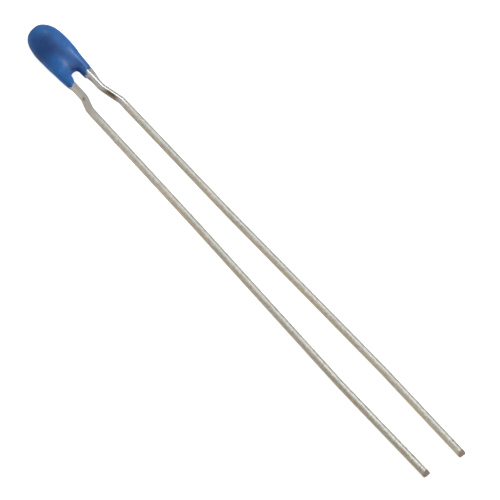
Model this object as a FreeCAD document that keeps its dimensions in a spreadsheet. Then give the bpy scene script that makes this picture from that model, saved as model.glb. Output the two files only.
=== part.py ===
import FreeCAD, Part
import os
import math
import Sketcher

# Radial leaded NTC thermistor: a dip coated bead with two kinked round wires.
# Build frame: X across the two wires, Y from the lead tips to the head of the bead,
# Z through the thickness, with the wire centres in the plane z = 0 and the crown of
# the notch between the two coating legs at y = 0. The rest pose at the end tips the
# part onto its bead and its lead tips and moves the origin under the middle of its box.

os.makedirs("parts", exist_ok=True)
doc = FreeCAD.newDocument("ntc_thermistor")
sheet = doc.addObject("Spreadsheet::Sheet", "sizes")

# driving sizes in millimetres and degrees
SIZES = [
    # wires
    ("wire_radius", 0.30),
    ("wire_stub", 0.25),
    ("cut_edge_radius", 0.05),
    ("kink_radius_left", 1.20),
    ("kink_radius_right", 1.80),
    ("bow_radius", 60.0),
    # left wire: its reach below the notch, then straight lengths and headings away from
    # the middle line
    ("left_lead_length", 39.96),
    ("left_root_run", 5.14),
    ("left_kink_heading", 18.0),
    ("left_kink_run", 0.68),
    ("left_upper_heading", 0.55),
    ("left_upper_run", 11.3),
    ("left_middle_heading", 1.05),
    ("left_middle_run", 14.9),
    ("left_tip_heading", -0.55),
    # right wire
    ("right_lead_length", 40.52),
    ("right_root_run", 5.33),
    ("right_kink_heading", 13.0),
    ("right_kink_run", 1.40),
    ("right_upper_heading", 0.20),
    ("right_upper_run", 10.8),
    ("right_middle_heading", 1.10),
    ("right_middle_run", 15.3),
    ("right_tip_heading", -0.25),
    # sensing pellet, its silver faces and the solder on them
    ("chip_thick", 0.78),
    ("chip_length", 1.50),
    ("chip_height", 1.40),
    ("chip_drop", 0.05),
    ("electrode_thick", 0.03),
    ("solder_film", 0.03),
    ("solder_skin", 0.04),
    ("solder_foot", 0.52),
    ("solder_meniscus", 0.45),
    ("solder_length", 1.30),
    # lacquer bead: how much stands outside the wires, the pellet and the legs' wires
    ("bead_side_wall", 0.28),
    ("bead_face_wall", 0.35),
    ("leg_side_wall", 0.07),
    ("leg_face_wall", 0.25),
    ("bead_widest_y", 2.35),
    ("head_height", 2.24),
    ("leg_length", 0.68),
    ("bead_lean", 0.05),
    ("leg_lean", 0.03),
    ("notch_crown_radius", 0.35),
    ("notch_flare", 12.0),
    ("notch_edge_radius", 0.16),
    ("leg_corner_extra", 0.06),
    # how full the outline is: powers of the dome's rounding and of the taper to the legs
    ("dome_power", 0.82),
    ("taper_power", 1.60),
]
value = {}
for row, (alias, number) in enumerate(SIZES, start=1):
    sheet.set("A%d" % row, alias)
    sheet.set("B%d" % row, str(number))
    sheet.setAlias("B%d" % row, alias)
    value[alias] = number
doc.recompute()

# The wire axis stands off the middle by half the pellet, its silver face, the solder
# film under the wire and the wire's own radius.
WIRE_OFFSET = "(sizes.chip_thick / 2 + sizes.electrode_thick + sizes.solder_film + sizes.wire_radius)"
wire_offset = (value["chip_thick"] / 2 + value["electrode_thick"] + value["solder_film"]
               + value["wire_radius"])

# The pellet sits a little below the bead's widest place, and each wire runs up past the
# solder on it by a short stub.
CHIP_MIDDLE = "(sizes.bead_widest_y - sizes.chip_drop)"
chip_middle = value["bead_widest_y"] - value["chip_drop"]
WIRE_ROOT = "(%s + sizes.solder_length / 2 + sizes.wire_stub)" % CHIP_MIDDLE
wire_root = chip_middle + value["solder_length"] / 2 + value["wire_stub"]

# The lacquer's outline stands outside what it covers by its walls.
BEAD_HALF_WIDTH = "(%s + sizes.wire_radius + sizes.bead_side_wall)" % WIRE_OFFSET
BEAD_HALF_THICK = "(sizes.chip_height / 2 + sizes.bead_face_wall)"
LEG_HALF_WIDTH = "(%s + sizes.wire_radius + sizes.leg_side_wall)" % WIRE_OFFSET
LEG_HALF_THICK = "(sizes.wire_radius + sizes.leg_face_wall)"
LEG_CORNER_RADIUS = "(sizes.notch_edge_radius + sizes.leg_corner_extra)"

SIDES = {"left": -1, "right": 1}
# how near counts as the same place, when edges are picked
NEAR = 0.01


def ends(forward):
    """A sketch numbers the two ends of an arc 1 and 2, in the order in which it is drawn."""
    return (1, 2) if forward else (2, 1)


def origin_plane(body, role):
    """One of the body's own three origin planes."""
    for feature in body.Origin.OriginFeatures:
        if feature.Role == role:
            return feature
    raise RuntimeError("no plane " + role)


def new_sketch(body, name, role, offset=None):
    """A sketch on an origin plane, moved off it along its normal by an expression."""
    sketch = body.newObject("Sketcher::SketchObject", name)
    sketch.AttachmentSupport = [(origin_plane(body, role), "")]
    sketch.MapMode = "FlatFace"
    if offset is not None:
        sketch.setExpression("AttachmentOffset.Base.z", offset)
    return sketch


def bind(sketch, constraint, name, expression):
    """Adds a driving constraint and ties it to the sheet."""
    index = sketch.addConstraint(constraint)
    sketch.renameConstraint(index, name)
    sketch.setExpression("Constraints." + name, expression)


def bind_x(sketch, geo, pos, side, name, number, expression):
    """Holds a point at a distance to the left or right of the sketch's origin."""
    if side > 0:
        constraint = Sketcher.Constraint("DistanceX", -1, 1, geo, pos, number)
    else:
        constraint = Sketcher.Constraint("DistanceX", geo, pos, -1, 1, number)
    bind(sketch, constraint, name, expression)


def bind_y(sketch, geo, pos, name, number, expression):
    """Holds a point above the sketch's origin."""
    constraint = Sketcher.Constraint("DistanceY", -1, 1, geo, pos, number)
    bind(sketch, constraint, name, expression)


def vector(x, y):
    return FreeCAD.Vector(x, y, 0)


# Wires: straight runs joined by tangent bends, drawn from the root down to the tip.
def wire_path(body, side_name):
    side = SIDES[side_name]
    runs = ["root", "kink", "upper", "middle", "tip"]
    radii = ["kink_radius_" + side_name, "kink_radius_" + side_name, "bow_radius", "bow_radius"]
    sketch = new_sketch(body, "path_" + side_name, "XY_Plane")
    point = vector(side * wire_offset, wire_root)
    heading = 0.0
    previous = None
    for index, run in enumerate(runs):
        if index:
            alias = "%s_%s_heading" % (side_name, run)
            turned = value[alias]
            travel = math.radians(-90 + side * heading)
            onward = math.radians(-90 + side * turned)
            radius = value[radii[index - 1]]
            left_turn = 1 if onward > travel else -1
            centre = point + vector(-math.sin(travel), math.cos(travel)) * (left_turn * radius)
            start_angle = travel - left_turn * math.pi / 2
            end_angle = onward - left_turn * math.pi / 2
            circle = Part.Circle(centre, FreeCAD.Vector(0, 0, 1), radius)
            if left_turn > 0:
                arc = sketch.addGeometry(Part.ArcOfCircle(circle, start_angle, end_angle))
            else:
                arc = sketch.addGeometry(Part.ArcOfCircle(circle, end_angle, start_angle))
            first, last = ends(left_turn > 0)
            sketch.addConstraint(Sketcher.Constraint("Tangent", previous, 1, arc, first))
            bind(sketch, Sketcher.Constraint("Radius", arc, radius), "bend_%d" % index,
                 "sizes." + radii[index - 1])
            point = centre + vector(math.cos(end_angle), math.sin(end_angle)) * radius
            heading = turned
        travel = math.radians(-90 + side * heading)
        if run == "tip":
            length = (-value[side_name + "_lead_length"] - point.y) / math.sin(travel)
        else:
            length = value["%s_%s_run" % (side_name, run)]
        below = point + vector(math.cos(travel), math.sin(travel)) * length
        line = sketch.addGeometry(Part.LineSegment(below, point))
        if index:
            sketch.addConstraint(Sketcher.Constraint("Tangent", arc, last, line, 2))
            slope = "sizes.%s_%s_heading" % (side_name, run)
        else:
            bind_x(sketch, line, 2, side, "root_x", wire_offset, WIRE_OFFSET)
            bind_y(sketch, line, 2, "root_y", wire_root, WIRE_ROOT)
            slope = "0"
        bind(sketch, Sketcher.Constraint("Angle", line, math.radians(90 + side * heading)),
             "slope_" + run, "(90 %s %s) * 1 deg" % ("+" if side > 0 else "-", slope))
        if run == "tip":
            bind(sketch, Sketcher.Constraint("DistanceY", line, 1, -1, 1, -below.y), "tip_y",
                 "sizes.%s_lead_length" % side_name)
        else:
            bind(sketch, Sketcher.Constraint("Distance", line, length), "length_" + run,
                 "sizes.%s_%s_run" % (side_name, run))
        point = below
        previous = line
    return sketch, point


def wire(side_name):
    """A tinned round wire, swept along its path, with the edge of the cut end rounded."""
    side = SIDES[side_name]
    body = doc.addObject("PartDesign::Body", "lead_" + side_name)
    path, tip = wire_path(body, side_name)
    section = new_sketch(body, "section_" + side_name, "XZ_Plane", "-" + WIRE_ROOT)
    ring = section.addGeometry(Part.Circle(vector(side * wire_offset, 0), FreeCAD.Vector(0, 0, 1),
                                           value["wire_radius"]))
    section.addConstraint(Sketcher.Constraint("PointOnObject", ring, 3, -1))
    bind_x(section, ring, 3, side, "centre_x", wire_offset, WIRE_OFFSET)
    bind(section, Sketcher.Constraint("Radius", ring, value["wire_radius"]), "radius",
         "sizes.wire_radius")
    doc.recompute()
    sweep = body.newObject("PartDesign::AdditivePipe", "sweep_" + side_name)
    sweep.Profile = section
    sweep.Spine = (path, [])
    doc.recompute()
    cut_edges = []
    for index, edge in enumerate(sweep.Shape.Edges, start=1):
        if edge.CenterOfMass.distanceToPoint(tip) < NEAR and edge.Length > value["wire_radius"]:
            cut_edges.append("Edge%d" % index)
    rounding = body.newObject("PartDesign::Fillet", "cut_end_" + side_name)
    rounding.Base = (sweep, cut_edges)
    rounding.Radius = value["cut_edge_radius"]
    rounding.setExpression("Radius", "sizes.cut_edge_radius")
    doc.recompute()
    return body


# Flat pieces across the middle: a rectangle in Y and Z, padded along X.
def slab(name, start, thickness):
    """A block of the pellet's outline from the x of one expression, as thick as the other."""
    body = doc.addObject("PartDesign::Body", name)
    sketch = new_sketch(body, name + "_outline", "YZ_Plane", start)
    half_length = value["chip_length"] / 2
    half_height = value["chip_height"] / 2
    middle = chip_middle
    corners = [vector(middle - half_length, -half_height), vector(middle + half_length, -half_height),
               vector(middle + half_length, half_height), vector(middle - half_length, half_height)]
    for index in range(4):
        sketch.addGeometry(Part.LineSegment(corners[index], corners[(index + 1) % 4]))
    for index in range(4):
        sketch.addConstraint(Sketcher.Constraint("Coincident", index, 2, (index + 1) % 4, 1))
    for index in (0, 2):
        sketch.addConstraint(Sketcher.Constraint("Horizontal", index))
        sketch.addConstraint(Sketcher.Constraint("Vertical", index + 1))
    bind_x(sketch, 0, 1, 1, "lower_end", middle - half_length,
           "%s - sizes.chip_length / 2" % CHIP_MIDDLE)
    bind(sketch, Sketcher.Constraint("DistanceX", 0, 1, 0, 2, 2 * half_length), "length",
         "sizes.chip_length")
    bind(sketch, Sketcher.Constraint("DistanceY", 1, 1, 1, 2, 2 * half_height), "height",
         "sizes.chip_height")
    bind(sketch, Sketcher.Constraint("DistanceY", 1, 1, -1, 1, half_height), "underside",
         "sizes.chip_height / 2")
    pad = body.newObject("PartDesign::Pad", name + "_pad")
    pad.Profile = sketch
    pad.setExpression("Length", thickness)
    doc.recompute()
    return body


# Solder: a skin round the wire that spreads into a hollow foot on the silver face.
def solder(side_name):
    side = SIDES[side_name]
    body = doc.addObject("PartDesign::Body", "solder_" + side_name)
    start = "-(%s + sizes.solder_length / 2)" % CHIP_MIDDLE
    sketch = new_sketch(body, "solder_outline_" + side_name, "XZ_Plane", start)
    face_x = value["chip_thick"] / 2 + value["electrode_thick"]
    skin = value["wire_radius"] + value["solder_skin"]
    foot = value["solder_foot"]
    hollow = value["solder_meniscus"]
    # centre of the hollow arc that leaves the foot and touches the skin from outside
    across = wire_offset - face_x
    span = math.hypot(across, foot)
    along = (hollow ** 2 - (skin + hollow) ** 2 + span ** 2) / (2 * span)
    aside = math.sqrt(hollow ** 2 - along ** 2)
    hollow_x = face_x + along * across / span + aside * foot / span
    hollow_z = foot - along * foot / span + aside * across / span
    touch = math.atan2(hollow_z, hollow_x - wire_offset)
    leave = math.atan2(foot - hollow_z, face_x - hollow_x)
    up = FreeCAD.Vector(0, 0, 1)

    def arc(centre_x, centre_z, radius, first, second):
        """An arc drawn for the right side, mirrored for the left side."""
        if side < 0:
            first, second = math.pi - second, math.pi - first
        circle = Part.Circle(vector(side * centre_x, centre_z), up, radius)
        return sketch.addGeometry(Part.ArcOfCircle(circle, first, second))

    base = sketch.addGeometry(Part.LineSegment(vector(side * face_x, -foot),
                                               vector(side * face_x, foot)))
    skin_arc = arc(wire_offset, 0, skin, -touch, touch)
    top_arc = arc(hollow_x, hollow_z, hollow, leave, touch + math.pi)
    low_arc = arc(hollow_x, -hollow_z, hollow, -touch - math.pi, -leave)
    first, last = ends(side > 0)
    add = sketch.addConstraint
    add(Sketcher.Constraint("Coincident", base, 2, top_arc, first))
    add(Sketcher.Constraint("Coincident", base, 1, low_arc, last))
    add(Sketcher.Constraint("Tangent", top_arc, last, skin_arc, last))
    add(Sketcher.Constraint("Tangent", low_arc, first, skin_arc, first))
    add(Sketcher.Constraint("Vertical", base))
    bind_x(sketch, base, 2, side, "face_x", face_x, "sizes.chip_thick / 2 + sizes.electrode_thick")
    bind_y(sketch, base, 2, "foot_top", foot, "sizes.solder_foot")
    bind(sketch, Sketcher.Constraint("DistanceY", base, 1, -1, 1, foot), "foot_low",
         "sizes.solder_foot")
    add(Sketcher.Constraint("PointOnObject", skin_arc, 3, -1))
    bind_x(sketch, skin_arc, 3, side, "wire_x", wire_offset, WIRE_OFFSET)
    bind(sketch, Sketcher.Constraint("Radius", skin_arc, skin), "skin",
         "sizes.wire_radius + sizes.solder_skin")
    bind(sketch, Sketcher.Constraint("Radius", top_arc, hollow), "hollow_top",
         "sizes.solder_meniscus")
    bind(sketch, Sketcher.Constraint("Radius", low_arc, hollow), "hollow_low",
         "sizes.solder_meniscus")
    bore = sketch.addGeometry(Part.Circle(vector(side * wire_offset, 0), up, value["wire_radius"]))
    add(Sketcher.Constraint("Coincident", bore, 3, skin_arc, 3))
    bind(sketch, Sketcher.Constraint("Radius", bore, value["wire_radius"]), "bore",
         "sizes.wire_radius")
    pad = body.newObject("PartDesign::Pad", "solder_pad_" + side_name)
    pad.Profile = sketch
    pad.setExpression("Length", "sizes.solder_length")
    doc.recompute()
    return body


# Lacquer: a loft through ellipses, from the ends of the legs up to the domed head.
def station(name, height, half_width, half_thick, lean):
    """One cross section of the bead, an ellipse across Y, with its sizes as expressions."""
    ellipse = doc.addObject("Part::Ellipse", name)
    upright = FreeCAD.Rotation(FreeCAD.Vector(1, 0, 0), 90)
    ellipse.Placement = FreeCAD.Placement(FreeCAD.Vector(0, 0, 0), upright)
    ellipse.setExpression("Placement.Base.x", lean)
    ellipse.setExpression("Placement.Base.y", height)
    ellipse.setExpression("MajorRadius", half_width)
    ellipse.setExpression("MinorRadius", half_thick)
    return ellipse


def round_edges(body, base, name, radius, chosen):
    """Rounds the edges whose boxes pass a test."""
    picked = []
    for index, edge in enumerate(base.Shape.Edges, start=1):
        if chosen(edge.optimalBoundingBox(True, False)):
            picked.append("Edge%d" % index)
    rounding = body.newObject("PartDesign::Fillet", name)
    rounding.Base = (base, picked)
    rounding.setExpression("Radius", radius)
    doc.recompute()
    return rounding


def between(upper, lower, share):
    """The expression for a size that goes from one to another along the bead."""
    return "%s - (%s - %s) * %.4f" % (upper, upper, lower, share)


def bead():
    sections = []
    # the lower part, from the leg ends up to the widest place
    lower_shares = [1.0, 0.86, 0.70, 0.52, 0.34, 0.16]
    for index, share in enumerate(lower_shares):
        narrowing = share ** value["taper_power"]
        thinning = (1 - math.cos(math.pi * share)) / 2
        sections.append(station(
            "lower_%d" % index,
            "sizes.bead_widest_y - (sizes.bead_widest_y + sizes.leg_length) * %.4f" % share,
            between(BEAD_HALF_WIDTH, LEG_HALF_WIDTH, narrowing),
            between(BEAD_HALF_THICK, LEG_HALF_THICK, thinning),
            between("sizes.bead_lean", "sizes.leg_lean", share)))
    # the head, a half ellipsoid
    dome_angles = [0, 22, 42, 58, 71, 80, 86]
    for index, angle in enumerate(dome_angles):
        rise = math.sin(math.radians(angle))
        shrink = math.cos(math.radians(angle)) ** value["dome_power"]
        sections.append(station(
            "dome_%d" % index,
            "sizes.bead_widest_y + sizes.head_height * %.4f" % rise,
            "%s * %.4f" % (BEAD_HALF_WIDTH, shrink),
            "%s * %.4f" % (BEAD_HALF_THICK, shrink),
            "sizes.bead_lean"))
    doc.recompute()
    loft = doc.addObject("Part::Loft", "bead_loft")
    loft.Sections = sections
    loft.Solid = True
    loft.Ruled = False
    doc.recompute()
    body = doc.addObject("PartDesign::Body", "bead")
    body.BaseFeature = loft
    doc.recompute()

    # The notch between the legs: a round crown with flared sides, cut well past the bead's
    # faces and the ends of the legs.
    reach = "2 * %s" % BEAD_HALF_THICK
    sketch = new_sketch(body, "notch_outline", "XY_Plane", reach)
    radius = value["notch_crown_radius"]
    flare = math.radians(value["notch_flare"])
    mouth_y = -2 * value["leg_length"]
    middle_x = value["leg_lean"]
    centre = vector(middle_x, -radius)
    crown = sketch.addGeometry(Part.ArcOfCircle(Part.Circle(centre, FreeCAD.Vector(0, 0, 1), radius),
                                                flare, math.pi - flare))
    lines = []
    for side, angle, pos in ((1, flare, 1), (-1, math.pi - flare, 2)):
        top = centre + vector(math.cos(angle), math.sin(angle)) * radius
        drop = top.y - mouth_y
        bottom = top + vector(side * drop * math.tan(flare), -drop)
        line = sketch.addGeometry(Part.LineSegment(bottom, top))
        sketch.addConstraint(Sketcher.Constraint("Tangent", line, 2, crown, pos))
        lines.append(line)
    mouth = sketch.addGeometry(Part.LineSegment(sketch.Geometry[lines[1]].StartPoint,
                                                sketch.Geometry[lines[0]].StartPoint))
    sketch.addConstraint(Sketcher.Constraint("Coincident", mouth, 1, lines[1], 1))
    sketch.addConstraint(Sketcher.Constraint("Coincident", mouth, 2, lines[0], 1))
    sketch.addConstraint(Sketcher.Constraint("Horizontal", mouth))
    bind(sketch, Sketcher.Constraint("Radius", crown, radius), "crown_radius",
         "sizes.notch_crown_radius")
    bind_x(sketch, crown, 3, 1, "crown_x", middle_x, "sizes.leg_lean")
    bind(sketch, Sketcher.Constraint("DistanceY", crown, 3, -1, 1, radius), "crown_y",
         "sizes.notch_crown_radius")
    bind(sketch, Sketcher.Constraint("Angle", lines[0], math.pi / 2 + flare), "flare_right",
         "(90 + sizes.notch_flare) * 1 deg")
    bind(sketch, Sketcher.Constraint("Angle", lines[1], math.pi / 2 - flare), "flare_left",
         "(90 - sizes.notch_flare) * 1 deg")
    bind(sketch, Sketcher.Constraint("DistanceY", mouth, 1, -1, 1, -mouth_y), "mouth_y",
         "2 * sizes.leg_length")
    doc.recompute()
    notch = body.newObject("PartDesign::Pocket", "notch")
    notch.Profile = sketch
    notch.setExpression("Length", "2 * (%s)" % reach)
    doc.recompute()

    # Lacquer draws in before it sets: the inner corner of each leg is rounded, then the
    # rim of the notch, which runs on round the end of each leg.
    end_y = -value["leg_length"]
    half_thick = value["wire_radius"] + value["leg_face_wall"]
    corner = round_edges(body, notch, "leg_corner", LEG_CORNER_RADIUS,
                         lambda box: max(box.XLength, box.YLength, box.YMax - end_y) < NEAR)
    round_edges(body, corner, "notch_rim", "sizes.notch_edge_radius",
                lambda box: abs(box.Center.z) > half_thick / 2 and end_y + NEAR < box.YMax < NEAR)
    return body


leads = [wire("left"), wire("right")]
pieces = leads + [slab("ntc_chip", "-sizes.chip_thick / 2", "sizes.chip_thick")]
pieces.append(slab("electrode_left", "-sizes.chip_thick / 2 - sizes.electrode_thick",
                   "sizes.electrode_thick"))
pieces.append(slab("electrode_right", "sizes.chip_thick / 2", "sizes.electrode_thick"))
pieces.append(solder("left"))
pieces.append(solder("right"))
lacquer = bead()


# Rest pose: the bead's underside and the longer lead's tip both touch z = 0, and the
# origin is under the middle of the box.
def lowest(body, tilt):
    shape = body.Shape.copy()
    shape.rotate(FreeCAD.Vector(0, 0, 0), FreeCAD.Vector(1, 0, 0), tilt)
    return shape.optimalBoundingBox(True, False).ZMin


def level(tilt):
    """How much higher the bead's underside is than the lead tip."""
    return lowest(lacquer, tilt) - lowest(leads[1], tilt)


first_turn, small_turn = 1.0, 0.05
flat = level(0.0)
tilt = -flat * first_turn / (level(first_turn) - flat)
for _ in range(3):
    slope = (level(tilt + small_turn) - level(tilt)) / small_turn
    tilt = tilt - level(tilt) / slope
box = FreeCAD.BoundBox()
for body in pieces + [lacquer]:
    shape = body.Shape.copy()
    shape.rotate(FreeCAD.Vector(0, 0, 0), FreeCAD.Vector(1, 0, 0), tilt)
    box.add(shape.optimalBoundingBox(True, False))
rest = FreeCAD.Placement(FreeCAD.Vector(-box.Center.x, -box.Center.y, -box.ZMin),
                         FreeCAD.Rotation(FreeCAD.Vector(1, 0, 0), tilt))
for body in pieces + [lacquer]:
    body.Placement = rest
doc.recompute()

# The coating is the bead less everything it was dipped over.
inside = doc.addObject("Part::MultiFuse", "inside")
inside.Shapes = pieces
coating = doc.addObject("Part::Cut", "lacquer_coating")
coating.Base = lacquer
coating.Tool = inside
doc.recompute()

for item in doc.Objects:
    if "Invalid" in item.State or "Error" in item.State:
        raise RuntimeError("%s did not build: %s" % (item.Name, item.State))
nodes = pieces + [coating]
for node in nodes:
    node.Label = node.Name
    if node.Shape.isNull() or not node.Shape.isValid():
        raise RuntimeError(node.Label + " has no valid shape")
    if len(node.Shape.Solids) != 1:
        raise RuntimeError("%s is %d solids" % (node.Label, len(node.Shape.Solids)))
for node in nodes:
    node.Shape.exportStep("parts/%s.step" % node.Label)
    found = node.Shape.optimalBoundingBox(True, False)
    print("%-18s volume %8.4f  x %.3f..%.3f  y %.3f..%.3f  z %.4f..%.4f" % (
        node.Label, node.Shape.Volume, found.XMin, found.XMax, found.YMin, found.YMax,
        found.ZMin, found.ZMax))
print("tilt %.4f  shift %s" % (tilt, rest.Base))
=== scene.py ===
import math
import bpy
import numpy as np
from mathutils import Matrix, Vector, noise


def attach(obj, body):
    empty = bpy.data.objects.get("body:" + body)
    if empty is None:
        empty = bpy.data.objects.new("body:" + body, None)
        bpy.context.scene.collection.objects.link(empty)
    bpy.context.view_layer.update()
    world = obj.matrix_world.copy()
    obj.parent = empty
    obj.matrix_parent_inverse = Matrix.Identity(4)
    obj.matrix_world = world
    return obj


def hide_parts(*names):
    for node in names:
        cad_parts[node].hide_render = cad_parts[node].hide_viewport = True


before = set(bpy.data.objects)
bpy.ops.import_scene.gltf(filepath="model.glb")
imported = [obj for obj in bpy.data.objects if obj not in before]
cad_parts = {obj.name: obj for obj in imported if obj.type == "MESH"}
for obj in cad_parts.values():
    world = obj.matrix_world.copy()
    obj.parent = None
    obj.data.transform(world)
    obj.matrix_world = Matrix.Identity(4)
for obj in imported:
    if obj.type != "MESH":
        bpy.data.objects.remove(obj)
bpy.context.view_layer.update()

# ---------------------------------------------------------------------------------------
# Sensing pellet: a block of sintered manganese and nickel oxides, nearly black and
# slightly grainy, pressed and fired, then diced. It stands between the two wires.
# ---------------------------------------------------------------------------------------
MILLIMETRES = 1000
PELLET_BLACK = (0.045, 0.041, 0.038, 1)
PELLET_GREY = (0.105, 0.098, 0.090, 1)
PELLET_GRAIN = 0.05
PELLET_GRAIN_DEPTH = 0.01
PELLET_ROUGHNESS = (0.55, 0.85)


def new_finish(name, metallic=0.0):
    """A material with one shader, and its place in the part measured in millimetres."""
    finish = bpy.data.materials.new(name)
    finish.use_nodes = True
    tree = finish.node_tree
    shader = tree.nodes["Principled BSDF"]
    shader.inputs["Metallic"].default_value = metallic
    place = tree.nodes.new("ShaderNodeTexCoord")
    enlarge = tree.nodes.new("ShaderNodeVectorMath")
    enlarge.operation = "SCALE"
    enlarge.inputs["Scale"].default_value = MILLIMETRES
    tree.links.new(place.outputs["Object"], enlarge.inputs[0])
    return finish, tree, shader, enlarge.outputs["Vector"]


def mottle(tree, where, size, detail=2.0, stretch=(1, 1, 1)):
    """Soft blotches about size millimetres across, longer where stretch is small."""
    squeeze = tree.nodes.new("ShaderNodeVectorMath")
    squeeze.operation = "MULTIPLY"
    squeeze.inputs[1].default_value = stretch
    tree.links.new(where, squeeze.inputs[0])
    blotches = tree.nodes.new("ShaderNodeTexNoise")
    blotches.inputs["Scale"].default_value = 1 / size
    blotches.inputs["Detail"].default_value = detail
    tree.links.new(squeeze.outputs["Vector"], blotches.inputs["Vector"])
    return blotches.outputs["Fac"]


def tones(tree, amount, stops):
    """Turns an amount from 0 to 1 into a colour, through the stops (place, colour)."""
    node = tree.nodes.new("ShaderNodeValToRGB")
    ramp = node.color_ramp
    ramp.elements[0].position, ramp.elements[0].color = stops[0]
    ramp.elements[1].position, ramp.elements[1].color = stops[-1]
    for position, colour in stops[1:-1]:
        ramp.elements.new(position).color = colour
    tree.links.new(amount, node.inputs["Fac"])
    return node.outputs["Color"]


def spread(tree, amount, low, high, start=0.3, end=0.7):
    """Turns an amount between start and end into a number between low and high."""
    node = tree.nodes.new("ShaderNodeMapRange")
    node.inputs["From Min"].default_value = start
    node.inputs["From Max"].default_value = end
    node.inputs["To Min"].default_value = low
    node.inputs["To Max"].default_value = high
    tree.links.new(amount, node.inputs["Value"])
    return node.outputs["Result"]


def relief(tree, shader, height, depth, strength=1.0):
    """Raises the surface by up to depth millimetres where height is 1."""
    bump = tree.nodes.new("ShaderNodeBump")
    bump.inputs["Strength"].default_value = strength
    bump.inputs["Distance"].default_value = depth / MILLIMETRES
    tree.links.new(height, bump.inputs["Height"])
    below = shader.inputs["Normal"]
    if below.is_linked:
        tree.links.new(below.links[0].from_socket, bump.inputs["Normal"])
    tree.links.new(bump.outputs["Normal"], below)


def give(node, finish):
    """Puts a finish on one of the solids of the frame."""
    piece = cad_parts[node]
    piece.data.materials.clear()
    piece.data.materials.append(finish)


oxide, tree, shader, where = new_finish("oxide_ceramic")
grains = mottle(tree, where, PELLET_GRAIN, detail=4)
oxide_colour = tones(tree, grains, [(0.35, PELLET_BLACK), (0.70, PELLET_GREY)])
tree.links.new(oxide_colour, shader.inputs["Base Color"])
tree.links.new(spread(tree, grains, *PELLET_ROUGHNESS), shader.inputs["Roughness"])
relief(tree, shader, grains, PELLET_GRAIN_DEPTH)
give("ntc_chip", oxide)

# ---------------------------------------------------------------------------------------
# Electrodes: silver paste, screened onto the pellet's two faces and fired. A matt,
# chalky white metal with the weave of the screen still in it.
# ---------------------------------------------------------------------------------------
SILVER_PALE = (0.80, 0.79, 0.76, 1)
SILVER_DULL = (0.62, 0.60, 0.56, 1)
SILVER_CLOUD = 0.25
SILVER_ROUGHNESS = (0.42, 0.62)
SCREEN_MESH = 0.08
SCREEN_DEPTH = 0.006

silver, tree, shader, where = new_finish("fired_silver", metallic=1.0)
clouds = mottle(tree, where, SILVER_CLOUD, detail=4)
silver_colour = tones(tree, clouds, [(0.35, SILVER_DULL), (0.65, SILVER_PALE)])
tree.links.new(silver_colour, shader.inputs["Base Color"])
tree.links.new(spread(tree, clouds, *SILVER_ROUGHNESS), shader.inputs["Roughness"])
relief(tree, shader, mottle(tree, where, SCREEN_MESH, detail=1), SCREEN_DEPTH)
give("electrode_left", silver)
give("electrode_right", silver)

# ---------------------------------------------------------------------------------------
# Solder: tin solder that wetted each wire and spread into a hollow fillet on the
# silver. It froze with a fine crystal pattern.
# ---------------------------------------------------------------------------------------
SOLDER_BRIGHT = (0.70, 0.70, 0.69, 1)
SOLDER_GREY = (0.50, 0.50, 0.50, 1)
SOLDER_CRYSTAL = 0.12
CRYSTAL_DEPTH = 0.006
SOLDER_CLOUD = 0.3
SOLDER_ROUGHNESS = (0.28, 0.45)

solder, tree, shader, where = new_finish("solder", metallic=1.0)
crystals = tree.nodes.new("ShaderNodeTexVoronoi")
crystals.inputs["Scale"].default_value = 1 / SOLDER_CRYSTAL
tree.links.new(where, crystals.inputs["Vector"])
facets = crystals.outputs["Distance"]
solder_colour = tones(tree, facets, [(0.0, SOLDER_BRIGHT), (0.8, SOLDER_GREY)])
tree.links.new(solder_colour, shader.inputs["Base Color"])
clouds = mottle(tree, where, SOLDER_CLOUD)
tree.links.new(spread(tree, clouds, *SOLDER_ROUGHNESS), shader.inputs["Roughness"])
relief(tree, shader, facets, CRYSTAL_DEPTH)
give("solder_left", solder)
give("solder_right", solder)

# ---------------------------------------------------------------------------------------
# Leads: solid copper wire, 0.6 mm, tinned, soldered to the pellet, bent outward once below
# the bead, left slightly bowed and nipped off, so that copper shows in the cut. The right
# one was wiped bright at its bend, and a dark reflection and a pale glint are painted there.
# ---------------------------------------------------------------------------------------
# from here on, lengths are in millimetres in the part's upright frame: x across, y from
# the crown of the notch between the bead's legs up to its head, z towards the viewer
SIDES = {"left": -1, "right": 1}
WIRE_RADIUS = 0.300
WIRE_ASIDE = 0.750
WIRE_ROOT = 3.200
# side: reach below the notch, bend radius, then (heading outward in degrees, length)
WIRE_ROUTES = {
    "left": (39.96, 1.20, [(0, 5.14), (18.0, 0.68), (0.55, 11.3), (1.05, 14.9), (-0.55, None)]),
    "right": (40.52, 1.80, [(0, 5.33), (13.0, 1.40), (0.20, 10.8), (1.10, 15.3), (-0.25, None)]),
}
# the first bends are the kink, and the later ones the slow bow of the wire
SHARP_BENDS = 2
BOW_RADIUS = 60.0
# the mesh: how far apart its rings lie along the wire, and the sides of each
WIRE_STEP = 0.06
WIRE_SIDES = 40
# how the part lies at rest: turned about X, then moved
REST_TILT = math.radians(1.00363)
REST_SHIFT = np.array([-0.016959517, 17.966155588, 1.008826246])
# the unevenness of the drawn and tinned surface: (depth, length), and how drawn out it is
TIN_WAVE = (0.004, 0.45)
TIN_RIPPLE = (0.003, 0.12)
DRAWN_OUT = np.array([1.0, 0.5, 1.0])
# nicks in the tin: side, distance below the notch, angle round the wire from +X over the
# top in degrees, half length, half width, depth; and the depth at which its painted shade is black
TIN_NICKS = [
    ("left", 2.30, 116, 0.15, 0.075, 0.036),
    ("left", 2.75, 128, 0.22, 0.050, 0.014),
    ("left", 25.6, 48, 0.10, 0.06, 0.018),
    ("left", 28.9, 44, 0.11, 0.06, 0.020),
    ("right", 12.9, 92, 0.10, 0.06, 0.014),
    ("right", 17.3, 118, 0.12, 0.05, 0.018),
    ("right", 39.3, 60, 0.10, 0.07, 0.020),
]
NICK_SHADE_BLACK = 0.04
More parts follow.
